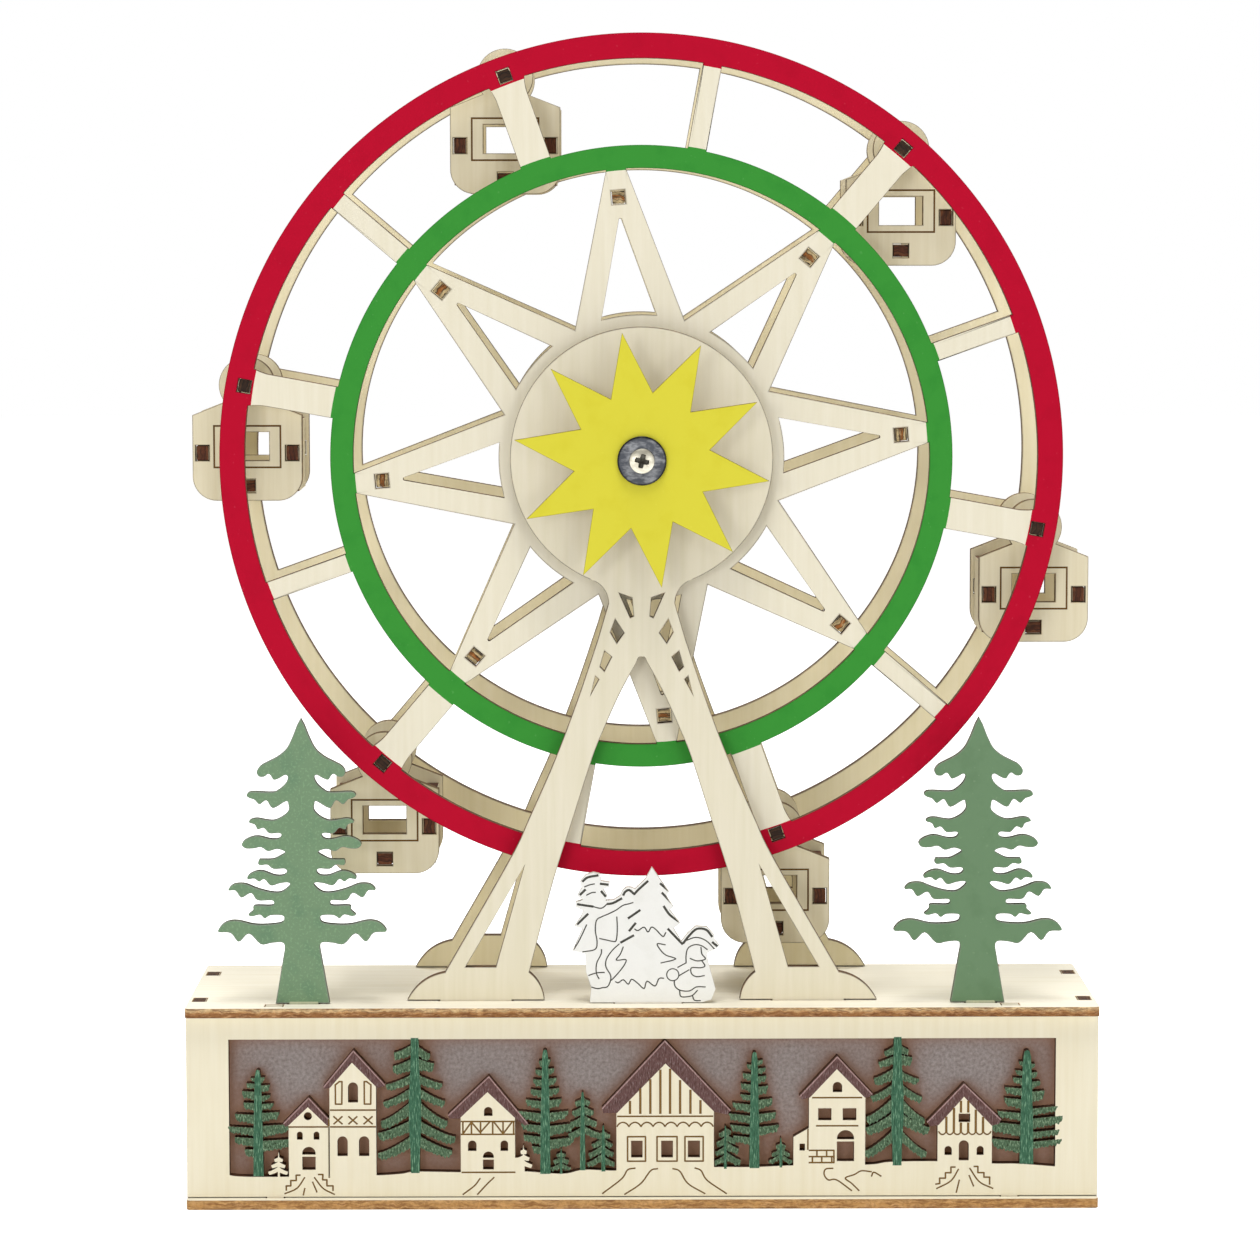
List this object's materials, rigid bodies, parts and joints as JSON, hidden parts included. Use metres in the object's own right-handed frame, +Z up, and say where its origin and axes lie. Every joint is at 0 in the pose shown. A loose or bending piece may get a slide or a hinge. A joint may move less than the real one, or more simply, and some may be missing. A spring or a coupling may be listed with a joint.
{
  "type": "ferris wheel decoration",
  "caption": "Laser-cut plywood ferris wheel with hanging gondolas on two A-frames, standing on a lit box with a village cut into its front.",
  "frame": {"origin": "middle of the box's underside", "axes": "+X to the right, +Y to the rear, +Z up the wheel"},
  "size_m": [0.3, 0.0889, 0.3848],
  "materials": {
    "birch_plywood": "sanded plywood with laser-burnt edges",
    "burnt_end_grain": "laser-burnt end grain",
    "beech_dowel": "turned dowel, uncoated",
    "green_paint": "matt paint on plywood",
    "yellow_paint": "matt paint on plywood",
    "white_paint": "matt paint on plywood, engraved",
    "frosted_film": "frosted polyester film",
    "black_plastic": "moulded, satin",
    "nylon": "natural nylon",
    "led_board": "white solder resist",
    "battery_wrap": "plain grey sleeve on a steel can",
    "dark_steel": "blackened steel",
    "zinc_screw": "bright zinc plate"
  },
  "bodies": {
    "base": {"bottom_board": "birch_plywood", "top_board": "birch_plywood", "front_panel": "birch_plywood", "back_panel": "birch_plywood", "left_side_panel": "birch_plywood", "right_side_panel": "birch_plywood", "diffuser_sheet": "frosted_film", "led_strip": "led_board", "battery_box": "black_plastic", "battery_1": "battery_wrap", "battery_2": "battery_wrap", "left_tree": "green_paint", "right_tree": "green_paint", "snow_scene": "white_paint", "front_support": "birch_plywood", "rear_support": "birch_plywood"},
    "wheel": {"front_wheel": "birch_plywood", "rear_wheel": "birch_plywood", "star_bar_1": "burnt_end_grain", "star_bar_2": "burnt_end_grain", "star_bar_3": "burnt_end_grain", "star_bar_4": "burnt_end_grain", "star_bar_5": "burnt_end_grain", "star_bar_6": "burnt_end_grain", "star_bar_7": "burnt_end_grain", "star_bar_8": "burnt_end_grain", "pivot_bar_1": "burnt_end_grain", "pivot_bar_2": "burnt_end_grain", "pivot_bar_3": "burnt_end_grain", "pivot_bar_4": "burnt_end_grain", "pivot_bar_5": "burnt_end_grain", "pivot_bar_6": "burnt_end_grain", "axle": "beech_dowel", "star_knob": "yellow_paint", "star_spacer": "beech_dowel", "star_washer": "dark_steel", "star_screw": "zinc_screw", "rear_flange_screw": "zinc_screw", "front_thrust_washer": "nylon", "rear_thrust_washer": "nylon"},
    "gondola_1": {"gondola_1_front": "birch_plywood", "gondola_1_rear": "birch_plywood", "gondola_1_cradle": "birch_plywood"},
    "gondola_2": {"gondola_2_front": "birch_plywood", "gondola_2_rear": "birch_plywood", "gondola_2_cradle": "birch_plywood"},
    "gondola_3": {"gondola_3_front": "birch_plywood", "gondola_3_rear": "birch_plywood", "gondola_3_cradle": "birch_plywood"},
    "gondola_4": {"gondola_4_front": "birch_plywood", "gondola_4_rear": "birch_plywood", "gondola_4_cradle": "birch_plywood"},
    "gondola_5": {"gondola_5_front": "birch_plywood", "gondola_5_rear": "birch_plywood", "gondola_5_cradle": "birch_plywood"},
    "gondola_6": {"gondola_6_front": "birch_plywood", "gondola_6_rear": "birch_plywood", "gondola_6_cradle": "birch_plywood"},
    "battery_cover": {"battery_cover": "birch_plywood"},
    "switch_knob": {"switch_knob": "black_plastic"}
  },
  "joints": [
    {"name": "wheel_spin", "type": "hinge", "parent": "base", "child": "wheel", "pos_m": [0, 0, 0.2463], "axis": [0, 1, 0], "continuous": true},
    {"name": "gondola_1_swing", "type": "hinge", "parent": "wheel", "child": "gondola_1", "pos_m": [0.08554, 0, 0.34716], "axis": [0, 1, 0], "continuous": true},
    {"name": "gondola_2_swing", "type": "hinge", "parent": "wheel", "child": "gondola_2", "pos_m": [-0.04458, 0, 0.37081], "axis": [0, 1, 0], "continuous": true},
    {"name": "gondola_3_swing", "type": "hinge", "parent": "wheel", "child": "gondola_3", "pos_m": [-0.13012, 0, 0.26995], "axis": [0, 1, 0], "continuous": true},
    {"name": "gondola_4_swing", "type": "hinge", "parent": "wheel", "child": "gondola_4", "pos_m": [-0.08554, 0, 0.14544], "axis": [0, 1, 0], "continuous": true},
    {"name": "gondola_5_swing", "type": "hinge", "parent": "wheel", "child": "gondola_5", "pos_m": [0.04458, 0, 0.12179], "axis": [0, 1, 0], "continuous": true},
    {"name": "gondola_6_swing", "type": "hinge", "parent": "wheel", "child": "gondola_6", "pos_m": [0.13012, 0, 0.22265], "axis": [0, 1, 0], "continuous": true},
    {"name": "battery_cover_pull", "type": "slide", "parent": "base", "child": "battery_cover", "axis": [0, 1, 0], "range_m": [0, 0.03]},
    {"name": "switch_slide", "type": "slide", "parent": "base", "child": "switch_knob", "axis": [1, 0, 0], "range_m": [0, 0.004]}
  ],
  "couplings": [
    {"joint": "gondola_1_swing", "follows": "wheel_spin", "ratio": -1},
    {"joint": "gondola_2_swing", "follows": "wheel_spin", "ratio": -1},
    {"joint": "gondola_3_swing", "follows": "wheel_spin", "ratio": -1},
    {"joint": "gondola_4_swing", "follows": "wheel_spin", "ratio": -1},
    {"joint": "gondola_5_swing", "follows": "wheel_spin", "ratio": -1},
    {"joint": "gondola_6_swing", "follows": "wheel_spin", "ratio": -1}
  ]
}
